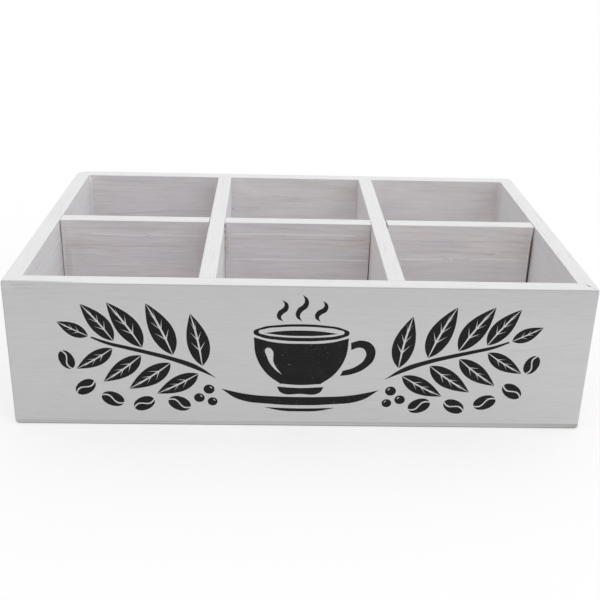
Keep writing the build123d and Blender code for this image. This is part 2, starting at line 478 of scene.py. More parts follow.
# Marks on the long divider's front face and in its joints
DIVIDER_MARKS = (
    Blot((-86.0, -4.0, 74.2), (5.0, 1.5, 2.0), Tone.PALE, 0.26, 0.8),
    Blot((94.8, -4.0, 61.0), (3.0, 1.5, 0.9), Tone.PALE, 0.65, 0.6),
    Blot((96.0, -4.0, 60.8), (0.8, 1.0, 0.4), Tone.BARE, 0.8),
    Blot((123.0, -4.0, 64.8), (2.0, 1.5, 0.8), Tone.PALE, 0.45, 0.6),
    Blot((118.0, -4.0, 64.2), (2.4, 1.0, 0.6), Tone.BARE, 0.35),
    Blot((20.0, -4.0, 49.5), (10.0, 1.5, 1.6), Tone.GREY, 0.15),
    Blot((100.0, -4.0, 53.0), (50.0, 1.5, 9.0), Tone.COOL, 0.22, 0.2),
    Blot((82.0, -4.0, 69.0), (30.0, 1.5, 5.5), Tone.DULL, 0.16, 0.5),
    # Painted light lifting the shade at the ends of the compartments
    Blot((138.0, -4.0, 52.0), (16.0, 1.5, 18.0), Tone.PALE, 0.20, 0.4),
    Blot((-45.0, -4.0, 50.0), (16.0, 1.5, 14.0), Tone.PALE, 0.28, 0.4),
    Blot((-143.0, -4.0, 50.0), (18.0, 1.5, 16.0), Tone.PALE, 0.16, 0.4),
    Blot((-140.0, -4.0, 54.0), (2.4, 1.5, 15.0), Tone.BARE, 0.20, 0.7),
    Blot((-136.0, -4.0, 67.5), (9.0, 1.5, 2.4), Tone.BARE, 0.10, 0.8),
    Blot((-59.0, -4.0, 66.0), (4.0, 1.5, 18.0), Tone.ROSY, 0.12, 0.8),
    Blot((-48.0, -4.0, 62.0), (118.0, 1.5, 50.0), Tone.DULL, 0.11, 0.1),
    Blot((36.0, -4.0, 71.5), (9.0, 1.5, 4.0), Tone.ROSY, 0.16, 0.8),
    Blot((-63.0, -4.0, 74.0), (8.0, 1.5, 7.0), Tone.ROSY, 0.12, 0.8),
    Blot((-143.0, -4.0, 60.0), (0.45, 0.8, 30.0), Tone.DARK, 0.40, 0.3),
    Blot((-142.2, -4.0, 66.0), (0.6, 0.8, 18.0), Tone.PALE, 0.30, 0.5),
    Blot((-44.4, -4.0, 80.3), (0.45, 0.8, 1.3), Tone.DARK, 0.75),
    Blot((-44.4, -4.0, 76.2), (0.35, 0.8, 1.2), Tone.DARK, 0.60),
    Blot((-44.4, -4.0, 72.3), (0.40, 0.8, 1.0), Tone.DARK, 0.50),
    Blot((-44.4, -4.0, 66.0), (0.30, 0.8, 2.0), Tone.DARK, 0.35),
    Blot((-43.6, -4.0, 68.0), (1.2, 0.8, 12.0), Tone.BARE, 0.26, 0.6),
    Blot((43.2, -4.0, 66.0), (0.9, 0.8, 12.0), Tone.BARE, 0.22, 0.6),
    Blot((141.7, 3.5, 34.0), (0.9, 6.5, 42.0), Tone.DARK, 0.75, 0.3),
    Blot((142.45, -4.0, 67.0), (0.60, 1.2, 12.0), Tone.DARK, 0.88, 0.2),
    Blot((142.1, -4.0, 55.0), (0.35, 1.2, 14.0), Tone.DARK, 0.65, 0.3),
    Blot((141.4, -4.0, 62.0), (0.5, 0.8, 22.0), Tone.PALE, 0.35, 0.5),
)

# Streaks on the long divider's faces
DIVIDER_LINES = (
    Streak(-128, -90, 73.6, -0.3, 0.48, Tone.PALE, 0.9),
    Streak(-92, -80, 74.9, -2.4, 0.42, Tone.PALE, 0.80),
    Streak(-90, -83, 72.6, 1.8, 0.38, Tone.PALE, 0.75),
    Streak(-83, -54, 73.1, 0.4, 0.48, Tone.PALE, 0.8),
    Streak(-42, 36, 75.3, -0.1, 0.46, Tone.PALE, 0.9),
    Streak(-140, -112, 66.9, 0.3, 0.50, Tone.BARE, 0.34),
    Streak(-141, -122, 65.0, 0.2, 0.40, Tone.BARE, 0.24),
    Streak(-142, -130, 70.4, 0.2, 0.40, Tone.BARE, 0.20),
    Streak(-142, -128, 57.4, -0.2, 0.45, Tone.BARE, 0.22),
    Streak(-142, -132, 53.0, 0.1, 0.40, Tone.BARE, 0.20),
    Streak(30, 44, 66.0, -0.4, 0.35, Tone.PALE, 0.75),
    Streak(28, 44, 64.4, 0.3, 0.30, Tone.PALE, 0.60),
    Streak(-43, -32, 66.8, -0.2, 0.50, Tone.PALE, 0.45),
    Streak(58, 138, 67.6, 0.3, 0.40, Tone.PALE, 0.22),
    Streak(80, 130, 65.0, -0.3, 0.50, Tone.DARK, 0.10),
    Streak(-142, -56, 65.9, 0.9, 0.70, Tone.DARK, 0.14),
    Streak(-43, 43, 72.1, 0.2, 0.55, Tone.BARE, 0.28),
    Streak(54, 139, 72.1, 0.5, 0.52, Tone.BARE, 0.26),
    Streak(-42, 44, 58.8, 0.4, 0.46, Tone.PALE, 0.9),
    Streak(54, 90, 60.3, 0.6, 0.50, Tone.PALE, 0.80),
    Streak(86, 104, 61.0, 0.3, 0.45, Tone.PALE, 0.80),
    Streak(88, 99, 60.7, 0.3, 0.35, Tone.BARE, 0.60),
    Streak(104, 138, 61.0, 0.3, 0.50, Tone.PALE, 0.75),
    Streak(-124, -92, 54.0, 0.2, 0.42, Tone.PALE, 0.45),
)


@dataclass(frozen=True)
class Coat:
    """How unevenly a coat of paint covers a board.

    Attributes:
        clouds: How much its cover changes from place to place.
        fibres: How much the fibres change it.
        hairs: How much the finest fibres change it.
        brush: How much the brush marks change it.
        late: How much less it covers on late wood.
        dabs: How much short dabs of the brush change it.
    """

    clouds: float
    fibres: float
    hairs: float
    brush: float = 0.0
    late: float = 0.0
    dabs: float = 0.0


@dataclass(frozen=True)
class Whitewash(Finish):
    """White wood paint on a sawn softwood board, brushed on thick outside and thin inside.

    Attributes:
        grain: How the board's fibres run.
        shift: Moves the board to another part of the tree.
        inward: The direction of its thinly painted face, or nothing for both faces.
        heart: Where the tree's heart lies, across and through, from the frame's origin.
        ring: Distance between year rings.
        taper: How much the rings widen along the board, per millimetre.
        thin: How much of the thinly painted faces the paint covers.
        thick: How much of the other faces it covers.
        warmth: How pink the thin paint looks, from 0 to 1.
        second_coat: How much of a second, whiter coat the thinly painted faces have.
        marks: Blots on the board.
        lines: Streaks in its grain, on its thinly painted faces.
        outer_lines: Whether they are on its other face instead.
        fillers: Places of filled nail heads, as the X or Y and the height.
        bare_cuts: How much of the paint is missing on the sawn ends and slots of a divider.
    """

    grain: Grain
    shift: float
    inward: Optional[Triple] = None
    heart: Point = (30.0, 60.0)
    ring: float = 3.2
    taper: float = 0.02
    thin: float = 0.880
    thick: float = 0.985
    warmth: float = 0.3
    second_coat: float = 0.0
    marks: tuple[Blot, ...] = ()
    lines: tuple[Streak, ...] = ()
    outer_lines: bool = False
    fillers: tuple[Point, ...] = ()
    bare_cuts: float = 0.0

    early_wood = (0.55, 0.40, 0.30)
    late_wood = (0.34, 0.21, 0.14)
    clear_white = (0.785, 0.785, 0.788)
    shaded_outer_white = (0.726, 0.728, 0.732)
    lit_outer_white = (0.792, 0.794, 0.799)
    cool_wash = (0.802, 0.800, 0.838)
    warm_wash = (0.842, 0.810, 0.820)
    full_white = (0.862, 0.864, 0.875)
    painted_highlight_white = (0.86, 0.86, 0.865)
    painted_corner_shade = (0.44, 0.375, 0.37)
    grey_under = (0.40, 0.40, 0.41)

    def lay(self, sheet: Sheet) -> None:
        """Builds the wood, the paint over it and the marks in both."""
        Brushwork(sheet, self).lay()


class Brushwork:
    """A whitewashed board's surface, as it is built on a sheet."""

    thin_coat = Coat(clouds=0.05, fibres=0.36, hairs=0.50, brush=0.10, late=0.035, dabs=0.24)
    thick_coat = Coat(clouds=0.0125, fibres=0.12, hairs=0.18, brush=0.025, late=0.010, dabs=0.30)
    rim_coat = Coat(clouds=0.22, fibres=0.42, hairs=0.80)
    rim_cover = 0.985

    # How far noise moves things, in millimetres. A pair is for slow and for quick noise.
    ring_waves = (9.0, 1.8)
    line_waves = (1.0, 1.5)
    fibre_wave = 2.4
    ring_sway = 6.0
    corner_wave = 16.0

    # Lumps of noise to a millimetre
    cloud_scale = 0.045
    corner_scale = 0.12
    ragged_scale = 0.9
    rubbed_scale = 0.22

    # Soft steps in a direction's or a noise's value, from where each is 0 to where it is 1
    facing_up = (0.45, 0.80)
    facing_in = (0.3, 0.7)
    facing_along = (0.80, 0.95)
    rounded = (0.985, 0.88)
    rubbed_off = (0.56, 0.72)
    missed_flecks = (0.06, 0.16)
    filled_flecks = (-0.08, -0.18)

    # Soft steps in millimetres. Four values are a band, which is 1 in its middle.
    corner_shade_reach = (26.0, 0.0)
    corner = (12.0, 0.0)
    narrow_corner = (4.0, 0.0)
    bare_cut = (RIM - 0.8, RIM - 3.0)
    filler_ring = (0.7, 1.2, 1.4, 1.9)
    rim_shade_line = (RIM - 1.2, RIM - 0.85, RIM - 0.6, RIM - 0.35)
    rim_arris = (RIM - 0.9, RIM - 0.5)
    rim_corner = (RIM - 1.2, RIM - 0.6)
    side_arris = (BACK_FACE - 1.0, BACK_FACE - 0.4)
    end_arris = (RIGHT_END - 1.0, RIGHT_END - 0.3)
    front_board = (-WALL_INNER_Y - 1.0, -WALL_INNER_Y - 3.0)
    front_edge = (-WALL_INNER_Y - 4.0, -WALL_INNER_Y - 6.0)
    dull_end = (-90.0, -140.0)
    rim_shade_end = (-148.0, -108.0)
    left_half = (40.0, -40.0)
    seam_height = (BASE_TOP + 0.45, BASE_TOP)
    seam_depth = (WALL_INNER_Y + 5.0, WALL_INNER_Y + 3.0)
    joint = (0.35, 0.05)
    joint_height = (RIM - 2.0, RIM - 1.0)
    divider = (BOARD / 2 + 0.2, BOARD / 2 - 0.2)
    side_wall = (WALL_INNER_X - 0.3, WALL_INNER_X)

    # How strongly the painted corner shade, filler rings, rubbed arrises, painted shade and highlights
    # at the rim and front left, and joints show
    corner_shade_strength = 0.12
    filler_strength = 0.03
    rubbed_strength = 0.22
    rim_shade_strength = 0.30
    painted_highlight_strength = 0.8
    front_left_shade_strength = 0.42
    seam_strength = 0.16
    joint_strength = 0.40

    def __init__(self, sheet: Sheet, board: Whitewash) -> None:
        """Works out the board's grain and noises, all about 0, and tells its parts apart.

        Args:
            sheet: The sheet to build on.
            board: The board's finish.
        """
        self.sheet = sheet
        self.board = board
        self.place = sheet.place()
        self.moved = self.place + (board.shift, board.shift * 0.7, board.shift * 1.3)
        coords = self.place.parts()
        self.x, self.y, self.z = coords
        self.along, across, through = (coords[axis] for axis in board.grain.value)

        slow = self.stretched(self.moved, Lumps.SLOW)
        quick = self.stretched(self.moved, Lumps.QUICK)
        curved = self.moved + sheet.node("ShaderNodeCombineXYZ", {}, {2: quick * self.fibre_wave})
        self.level = across + quick * self.line_waves[1] + slow * self.line_waves[0]
        bent = across + (slow * self.ring_waves[0] + quick * self.ring_waves[1])
        self.late = self.rings(bent, through, slow)
        self.clouds = sheet.noise(self.moved * self.cloud_scale, 3.0) - 0.5
        self.brush = self.stretched(curved, Lumps.BRUSH)
        self.fibres = self.stretched(curved, Lumps.FIBRES)
        self.hairs = self.stretched(curved, Lumps.HAIRS)
        self.flecks = self.stretched(curved, Lumps.FLECKS)
        self.dabs = self.stretched(self.moved, Lumps.DABS)

        self.normal = sheet.facing().parts()
        nx, ny, nz = (abs(part) for part in self.normal)
        self.top = self.normal[2].rise(*self.facing_up)
        self.arris = nx.most(ny).most(nz).rise(*self.rounded)
        self.inside = 1 - self.top
        if board.inward is not None:
            towards = sum(n * part for n, part in zip(self.normal, board.inward) if part)
            self.inside = towards.rise(*self.facing_in)
        self.thinly = self.inside * (1 - self.top)
        # Painted shade (the first mask) and painted light (lit) towards the compartments' upright
        # corners
        self.dim, self.lit = self.corners()

    def lay(self) -> None:
        """Builds the wood, the paint over it and the marks in both."""
        sheet, board = self.sheet, self.board
        wood = sheet.blend(board.early_wood, board.late_wood, self.late * 0.75 + self.fibres * 0.8)
        under = sheet.blend(wood, board.grey_under, (1 - self.thinly) * 0.75)
        warm = self.clouds * 2.2 + self.brush * 1.6 + board.warmth
        wash = sheet.blend(board.cool_wash, board.warm_wash, warm)
        wash = sheet.blend(wash, board.full_white, board.second_coat)
        paint = sheet.blend(self.outer_white_with_painted_light(), board.clear_white, self.top)
        paint = sheet.blend(paint, wash, self.thinly)
        colour = sheet.blend(under, paint, self.covered())
        # Painted shade towards the compartments' corners on the thinly painted faces
        colour = sheet.blend(colour, board.painted_corner_shade, self.dim * self.thinly * self.corner_shade_strength)
        colour = self.jointed(self.edged(self.marked(colour), wood))
        height = self.fibres * 0.6 + self.brush * 0.5 + self.late * 0.25 + self.hairs * 0.3
        sheet.surface({
            "Base Color": colour,
            "Roughness": 0.58 + self.fibres * 0.2 + self.inside * 0.10,
            "Normal": sheet.bump(height, 0.10, 0.35),
            "Specular IOR Level": 0.32,
        })

    def stretched(self, where: Wire, lumps: Lumps) -> Wire:
        """Noise about 0, drawn out along the fibres.

        Args:
            where: The point, in millimetres.
            lumps: How it is drawn out.

        Returns:
            The noise.
        """
        along, across, detail = lumps.value
        scale = [across] * 3
        scale[self.board.grain.value[0]] = along
        return self.sheet.noise(where * tuple(scale), detail, 0.6) - 0.5

    def rings(self, level: Wire, through: Wire, slow: Wire) -> Wire:
        """The dark late wood of the year rings.

        Args:
            level: The height across the board, bent by the grain.
            through: The distance through it.
            slow: Noise that varies the width of the rings.

        Returns:
            1 in late wood and 0 in early wood.
        """
        up, deep = level - self.board.heart[0], through - self.board.heart[1]
        distance = (up * up + deep * deep).root() + self.along * self.board.taper
        part = ((distance + (slow + 0.5) * self.ring_sway) / self.board.ring).rest()
        return part.band(0.25, 0.85, 0.90, 1.0)

    def corners(self) -> tuple[Wire, Wire]:
        """Masks of painted shade and of painted light towards a compartment's upright corners."""
        ragged = self.sheet.noise(self.moved * self.corner_scale, 3.0) - 0.5
        ragged = ragged * self.corner_wave
        if self.board.grain is Grain.ALONG_X:
            off = self.x.wrapped(CELL_PITCH / 2)
            left = CELL_HALF_WIDTH + off + ragged
            right = CELL_HALF_WIDTH - off + ragged
            return right.rise(*self.corner_shade_reach), left.rise(*self.corner)
        off = CELL_HALF_DEPTH - abs(abs(self.y) - CELL_MIDDLE_Y) + ragged
        return off.rise(*self.corner) * 0.4, off.rise(*self.narrow_corner) * 0.2

    def cover(self, coat: Coat) -> Wire:
        """How much more or less than its usual share a coat covers, place by place."""
        fine = self.fibres * coat.fibres + self.hairs * coat.hairs + self.dabs * coat.dabs
        return self.clouds * coat.clouds + self.brush * coat.brush - self.late * coat.late + fine

    def covered(self) -> Wire:
        """How much of the board the paint covers."""
        # Thinner paint where corner shade is painted and fuller paint where light is painted (lit)
        thin = self.board.thin + self.cover(self.thin_coat) - self.dim * 0.015 + self.lit * 0.08
        thin = thin - self.flecks.rise(*self.missed_flecks) * 0.06
        thin = thin + self.flecks.rise(*self.filled_flecks) * 0.055
        thick = self.board.thick + self.cover(self.thick_coat)
        covered = self.inside * thin + (1 - self.inside) * thick
        rim = self.rim_cover + self.cover(self.rim_coat)
        covered = self.top * rim + (1 - self.top) * covered
        if self.board.inward is None:
            sawn = abs(self.normal[0]).rise(*self.facing_along) * self.z.rise(*self.bare_cut)
            covered = covered - sawn * self.board.bare_cuts
        return covered

    def outer_white_with_painted_light(self) -> Wire:
        """The outer coat, with painted light: lighter towards the lower right."""
        rightward = self.x * (0.5 / RIGHT_END) + 0.5
        # Painted light: the outer coat is lighter towards the right and towards the bottom
        painted_light = rightward * 0.25 + self.z.rise(RIM, 52.0) * (rightward * 0.43 + 0.32)
        return self.sheet.blend(self.board.shaded_outer_white, self.board.lit_outer_white, painted_light)

    def marked(self, colour: Wire) -> Wire:
        """Lays the board's own streaks, blots and filled nail heads over the paint.

        Args:
            colour: The colour so far.

        Returns:
            The colour with its marks.
        """
        ragged = self.sheet.noise(self.moved * self.ragged_scale, 3.0, 0.65) - 0.5
        lined = (1 - self.top) * (1 - self.inside if self.board.outer_lines else self.inside)
        for streak in self.board.lines:
            share = streak.mask(self.along, self.level, ragged) * lined
            colour = self.sheet.blend(colour, streak.tone.value, share)
        for blot in self.board.marks:
            colour = self.sheet.blend(colour, blot.tone.value, blot.mask(self.place, ragged))
        if self.board.fillers:
            offs = [(self.along - run, self.z - height) for run, height in self.board.fillers]
            nearest = reduce(Wire.least, [(side * side + up * up).root() for side, up in offs])
            ring = nearest.band(*self.filler_ring) * self.z.rise(RIM, RIM - 1.0)
            colour = self.sheet.blend(colour, Tone.GREY.value, ring * self.filler_strength)
        return colour

    def edged(self, colour: Wire, wood: Wire) -> Wire:
        """Rubs paint off the arrises; paints a highlight on the rim's, and painted shade under the rim
        and at the front left.

        Args:
            colour: The colour so far.
            wood: The colour of the wood.

        Returns:
            The colour with its edges.
        """
        x, y, z, blend = self.x, self.y, self.z, self.sheet.blend
        rubbed = self.sheet.noise(self.moved * self.rubbed_scale, 4.0, 0.7)
        rubbed = rubbed.rise(*self.rubbed_off) * self.arris
        colour = blend(colour, wood, rubbed * self.rubbed_strength)
        # Painted shade: a grey line under the rim's arris on the outer faces, as under a paint ridge
        line = z.band(*self.rim_shade_line) * abs(y).rise(*self.side_arris) * x.rise(*self.rim_shade_end)
        colour = blend(colour, Tone.GREY.value, line * self.rim_shade_strength)
        # Painted highlight on the rim's arrises, left out at the front left
        lit = self.arris * z.rise(*self.rim_arris)
        lit = lit * (1 - y.rise(*self.front_edge) * x.rise(*self.dull_end))
        colour = blend(colour, self.board.painted_highlight_white, lit * self.painted_highlight_strength)
        # Painted shade on the front panel's left upright arris, where a rounder edge turns from the
        # light
        turned = abs(x).rise(*self.end_arris) * y.rise(*self.front_board)
        turned = turned * (1 - z.rise(*self.rim_corner)) * x.rise(*self.left_half)
        return blend(colour, self.board.grey_under, turned * self.front_left_shade_strength)

    def jointed(self, colour: Wire) -> Wire:
        """Draws the dark lines where boards meet.

        Args:
            colour: The colour so far.

        Returns:
            The colour with its joints.
        """
        x, y, z = self.x, self.y, self.z
        seam = z.rise(*self.seam_height) * abs(y).rise(*self.seam_depth)
        left = abs(x - y * LEFT_SKEW - LEFT_CROSSING)
        right = abs(x - y * RIGHT_SKEW - RIGHT_CROSSING)
        ends = left.least(right).rise(*self.divider).most(abs(x).rise(*self.side_wall) * 0.2)
        butted = abs(abs(y) - WALL_INNER_Y).rise(*self.joint) * ends * z.rise(*self.joint_height)
        share = (seam * self.seam_strength).most(butted * self.joint_strength)
        return self.sheet.blend(colour, Tone.GREY.value, share)


@dataclass(frozen=True)
class Plywood(Finish):
    """The thin plywood base: painted round its edge and inside, nearly bare below."""

    veneer = (0.60, 0.45, 0.32)
    dark_veneer = (0.44, 0.31, 0.21)
    core = (0.34, 0.24, 0.17)
    white = (0.79, 0.79, 0.79)
    dust_and_shade_grey = (0.375, 0.38, 0.385)
    ply = BASE_TOP / 3

    # Lumps of each noise to a millimetre
    wave_scale = (0.008, 0.03, 0.03)
    fibre_scale = (0.02, 1.1, 1.1)
    pore_scale = (0.09, 5.0, 5.0)
    cloud_scale = 0.04

    # Sizes in millimetres. Each soft step goes from where it is 0 to where it is 1.
    figure_pitch = 7.0
    figure_wave = 60.0
    worn_end = (137.0, 144.0)
    worn_wave = 8.0
    spray = (14.0, -6.0)
    shadow = (3.1, 2.95)
    shadow_drop = 0.45
    foot = (1.0, 0.5)
    top_ply = (1.6, 2.1)
    dusty_right = (118.0, 138.0)
    dusty_left = (-100.0, -135.0)
    left_part = (40.0, -60.0)

    # How much of the paint, and of the dust and painted shade, there is
    edge_paint = 0.95
    worn_paint = 0.24
    spray_paint = 0.45
    underside_paint = 0.10
    dust_anywhere = 0.06
    dust_and_shade_below_walls = 0.13

    def lay(self, sheet: Sheet) -> None:
        """Builds three veneers and the paint over them.

        Args:
            sheet: The sheet to build on.
        """
        place = sheet.place()
        x, y, z = place.parts()
        nz = sheet.facing().parts()[2]
        up = nz.rise(0.4, 0.8)
        down = nz.rise(-0.55, -0.9)
        slow = sheet.noise(place * self.wave_scale, 2.0) - 0.5
        fibres = sheet.noise(place * self.fibre_scale, 4.0, 0.65) - 0.5
        pores = sheet.noise(place * self.pore_scale, 2.0)
        clouds = sheet.noise(place * self.cloud_scale, 3.0)

        figure = ((y + slow * self.figure_wave) / self.figure_pitch).rest() - 0.5
        grainy = abs(figure) * 0.7 + fibres * 1.1 + pores.rise(0.62, 0.72) * 0.4
        face = sheet.blend(self.veneer, self.dark_veneer, grainy)
        middle = abs(z - 1.5 * self.ply).rise(0.62 * self.ply, 0.42 * self.ply)
        edge = sheet.blend(self.veneer, self.core, middle * (0.8 + fibres * 0.4))
        wood = sheet.blend(edge, face, up.most(down))

        strokes = fibres * 0.25 + (clouds - 0.5) * 0.08
        worn = (x - clouds * self.worn_wave).rise(*self.worn_end) * (1 - up - down)
        rim = (RIGHT_END - BOARD / 2 - abs(x)).least(WALL_INNER_Y - abs(y))
        below = self.underside_paint + rim.rise(*self.spray) * self.spray_paint + strokes
        covered = self.edge_paint + strokes * 0.6 - worn * self.worn_paint
        colour = sheet.blend(wood, self.white, down * below + (1 - down) * covered)
        # Dust and painted shade on the plywood's edge
        colour = sheet.blend(colour, self.dust_and_shade_grey, self.dust_and_shade(x, z) * (1 - down) * (1 - up))
        colour = sheet.blend(colour, Tone.BARE.value, pores.rise(0.66, 0.74) * down * 0.5)
        sheet.surface({
            "Base Color": colour,
            "Roughness": 0.62 + fibres * 0.2,
            "Normal": sheet.bump(fibres * 0.7 + pores * 0.3, 0.10, 0.35),
            "Specular IOR Level": 0.30,
        })

    def dust_and_shade(self, x: Wire, z: Wire) -> Wire:
        """How much dust and shadow lies on the edge.

        Args:
            x: The distance to the right of the middle.
            z: The height.

        Returns:
            Its share, most at the foot and more towards both ends.
        """
        # Painted shade at the foot by the floor and under the walls, with dust along the edge
        dust_and_shade = z.rise(*self.foot) * 0.80 + z.rise(*self.top_ply) * 0.13 + self.dust_and_shade_below_walls
        dust_and_shade = dust_and_shade + x.rise(*self.dusty_right) * 0.12 + x.rise(*self.dusty_left) * 0.06
        below_walls = (z + x.rise(*self.left_part) * self.shadow_drop).rise(*self.shadow)
        return dust_and_shade * below_walls + self.dust_anywhere


@dataclass(frozen=True)
class BareSteel(Finish):
    """Galvanized wire of the brads, dulled and scratched by the nail gun."""

    bright = (0.62, 0.62, 0.63)
    dull = (0.40, 0.40, 0.41)
    spangle_scale = 1.6
    scratch_scale = (9.0, 0.8, 0.8)

    def lay(self, sheet: Sheet) -> None:
        """Builds the metal.

        Args:
            sheet: The sheet to build on.
        """
        place = sheet.place()
        spangle = sheet.noise(place * self.spangle_scale, 3.0, 0.6)
        scratch = sheet.noise(place * self.scratch_scale, 2.0)
        colour = sheet.blend(self.bright, self.dull, spangle.rise(0.35, 0.70))
        sheet.surface({
            "Base Color": colour,
            "Metallic": 1.0,
            "Roughness": 0.34 + spangle * 0.22,
            "Normal": sheet.bump(scratch, 0.02, 0.3),
        })


@dataclass(frozen=True)
class BlackPaint(Finish):
    """Matt black paint of the motif, brushed through a stencil over the white."""

    black = (0.0125, 0.0120, 0.0130)
    dry = (0.026, 0.025, 0.026)
    missed = (0.30, 0.29, 0.29)
    fibre_scale = (0.03, 1.4, 1.4)
    cloud_scale = 0.11
    pore_scale = (0.45, 1.7, 1.7)

    def lay(self, sheet: Sheet) -> None:
        """Builds the paint, a little dry where the grain stands up, and the pores that it missed.

        Args:
            sheet: The sheet to build on.
        """
        place = sheet.place()
        fibres = sheet.noise(place * self.fibre_scale, 4.0, 0.65)
        clouds = sheet.noise(place * self.cloud_scale, 3.0)
        pores = sheet.noise(place * self.pore_scale, 2.0)
        dry = (fibres - 0.5) * 2.0 + (clouds - 0.5) * 1.4 + 0.12
        colour = sheet.blend(self.black, self.dry, dry)
        colour = sheet.blend(colour, self.missed, pores.rise(0.70, 0.76) * 0.45)
        sheet.surface({
            "Base Color": colour,
            "Roughness": 0.58 + (fibres - 0.5) * 0.25,
            "Normal": sheet.bump(fibres, 0.08, 0.35),
            "Specular IOR Level": 0.14,
        })


@dataclass(frozen=True)
class PaintedGlue(Finish):
    """A bead of wood glue under thin white paint.

    Attributes:
        bare: How much of the glue shows low down.
    """

    bare: float = 0.3

    white = (0.82, 0.80, 0.81)
    glue = (0.68, 0.55, 0.50)
    lump_scale = 0.35
    low_part = (74.0, 58.0)

    def lay(self, sheet: Sheet) -> None:
        """Builds the glue and the paint over it, thinner lower down.

        Args:
            sheet: The sheet to build on.
        """
        place = sheet.place()
        z = place.parts()[2]
        lumps = sheet.noise(place * self.lump_scale, 3.0)
        bare = (z.rise(*self.low_part) + (lumps - 0.5) * 2.0) * self.bare
        sheet.surface({
            "Base Color": sheet.blend(self.white, self.glue, bare),
            "Roughness": 0.42 + lumps * 0.2,
            "Normal": sheet.bump(lumps, 0.25, 0.4),
        })


@dataclass(frozen=True)
class PaleFloor(Finish):
    """The studio's floor, which shows white to the camera and keeps the object's shadow."""

    seen = (0.46, 0.46, 0.46)
    backlight = (0.54, 0.54, 0.54)
    lit = (0.60, 0.60, 0.60)

    def lay(self, sheet: Sheet) -> None:
        """Builds the floor.

        Args:
            sheet: The sheet to build on.
        """
        seen = seen_directly(sheet)
        sheet.surface({
            "Base Color": sheet.blend(self.lit, self.seen, seen),
            "Emission Color": sheet.blend((0.0, 0.0, 0.0), self.backlight, seen),
            "Emission Strength": 1.0,
            "Roughness": 1.0,
            "Specular IOR Level": 0.0,
        })


def seen_directly(sheet: Sheet) -> Wire:
    """Whether the camera sees a surface straight, in a reflection or through glass.

    Args:
        sheet: The sheet to build on.

    Returns:
        1 for such a ray and 0 for light that bounces.
    """
    camera = sheet.node("ShaderNodeLightPath", {}, {})
    outs = camera.socket.node.outputs
    glossy, through = (Wire(sheet, outs[n]) for n in ("Is Glossy Ray", "Is Transmission Ray"))
    return camera.most(glossy).most(through)


def dress(node: str, finish: Finish) -> None:
    """Gives a CAD node its finish.

    Args:
        node: The node's name.
        finish: What it is finished with.
    """
    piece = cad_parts[node]
    made = finish.material()
    if not piece.material_slots:
        piece.data.materials.append(made)
    for slot in piece.material_slots:
        slot.material = made
    log.info("%s: %s", node, finish.name)


def mesh_of(name: str, shape: bmesh.types.BMesh) -> bpy.types.Mesh:
    """Turns a shape into a mesh.

    Args:
        name: The mesh's name.
        shape: The shape, which is freed.

    Returns:
        The new mesh.
    """
    mesh = bpy.data.meshes.new(name)
    shape.to_mesh(mesh)
    shape.free()
    return mesh


def linked(name: str, data: bpy.types.ID) -> bpy.types.Object:
    """Makes an object and links it to the scene.

    Args:
        name: The object's name.
        data: Its mesh, curve, lamp or camera.

    Returns:
        The new object.
    """
    made = bpy.data.objects.new(name, data)
    bpy.context.scene.collection.objects.link(made)
    return made


def add_piece(name: str, shape: bmesh.types.BMesh, finish: Finish) -> bpy.types.Object:
    """Makes an object of a shape in millimetres, in place, and lets it ride on the box.

    Args:
        name: The piece's name.
        shape: Its shape, which is freed.
        finish: What it is finished with.

    Returns:
        The new object.
    """
    bmesh.ops.scale(shape, vec=(MM, MM, MM), verts=shape.verts)
    bmesh.ops.recalc_face_normals(shape, faces=shape.faces)
    piece = linked(name, mesh_of(name, shape))
    piece.data.materials.append(finish.material())
    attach(piece, "root")
    log.info("%s: %d faces", name, len(piece.data.polygons))
    return piece


@dataclass(frozen=True)
class OuterWalls:
    """The four outer boards.

    Attributes:
        filler_levels: Heights of the filled nail heads at the corners.
        divider_filler_levels: Heights of those at the dividers' ends.
    """

    filler_levels: tuple[float, ...] = (22.9, 44.3, 66.6)
    divider_filler_levels: tuple[float, ...] = (28.4, 61.8)

    def build(self) -> None:
        """Dresses the boards."""
        levels, crossings = self.divider_filler_levels, (LEFT_CROSSING, RIGHT_CROSSING)
        corner = RIGHT_END - BOARD / 2
        fillers = tuple((x, z) for x in (-corner, corner) for z in self.filler_levels)
        fillers += tuple((x, z) for x in crossings for z in levels)
        side_fillers = tuple((0.0, z) for z in levels)
        front = Whitewash(
            "front_whitewash", Grain.ALONG_X, 311.0, inward=(0.0, 1.0, 0.0), heart=(38.0, -46.0),
            ring=4.2, thick=0.978, outer_lines=True, fillers=fillers,
            marks=FRONT_MARKS, lines=FRONT_LINES,
        )
        back = Whitewash(
            "back_whitewash", Grain.ALONG_X, 57.0, inward=(0.0, -1.0, 0.0), heart=(66.0, 124.0),
            ring=3.4, taper=0.035, warmth=0.28, fillers=fillers,
            marks=BACK_MARKS, lines=BACK_LINES,
        )
        left = Whitewash(
            "left_side_whitewash", Grain.ALONG_Y, 173.0, inward=(1.0, 0.0, 0.0), heart=(20.0, -190.0),
            thin=0.975, warmth=0.1, second_coat=0.48, fillers=side_fillers,
            marks=(
                Blot((-143.5, 0.5, 36.0), (1.0, 4.2, 46.0), Tone.BARE, 0.55, 0.15),
                Blot((-143.5, -9.0, 50.0), (1.0, 4.5, 26.0), Tone.ROSY, 0.08, 0.6),
            ),
        )
        right = Whitewash(
            "right_side_whitewash", Grain.ALONG_Y, 229.0, inward=(-1.0, 0.0, 0.0), heart=(60.0, 196.0),
            thin=1.0, warmth=0.2, second_coat=0.65, fillers=side_fillers,
            marks=(
                Blot((143.5, 0.5, 36.0), (1.0, 4.6, 46.0), Tone.DARK, 0.75, 0.15),
                Blot((143.5, -6.5, 50.0), (1.0, 2.2, 34.0), Tone.BARE, 0.12, 0.5),
                Blot((143.5, 88.0, 60.0), (1.0, 7.0, 40.0), Tone.ROSY, 0.14, 0.8),
            ),
        )
        dress("front_panel", front)
        dress("back_panel", back)
        dress("left_side_panel", left)
        dress("right_side_panel", right)


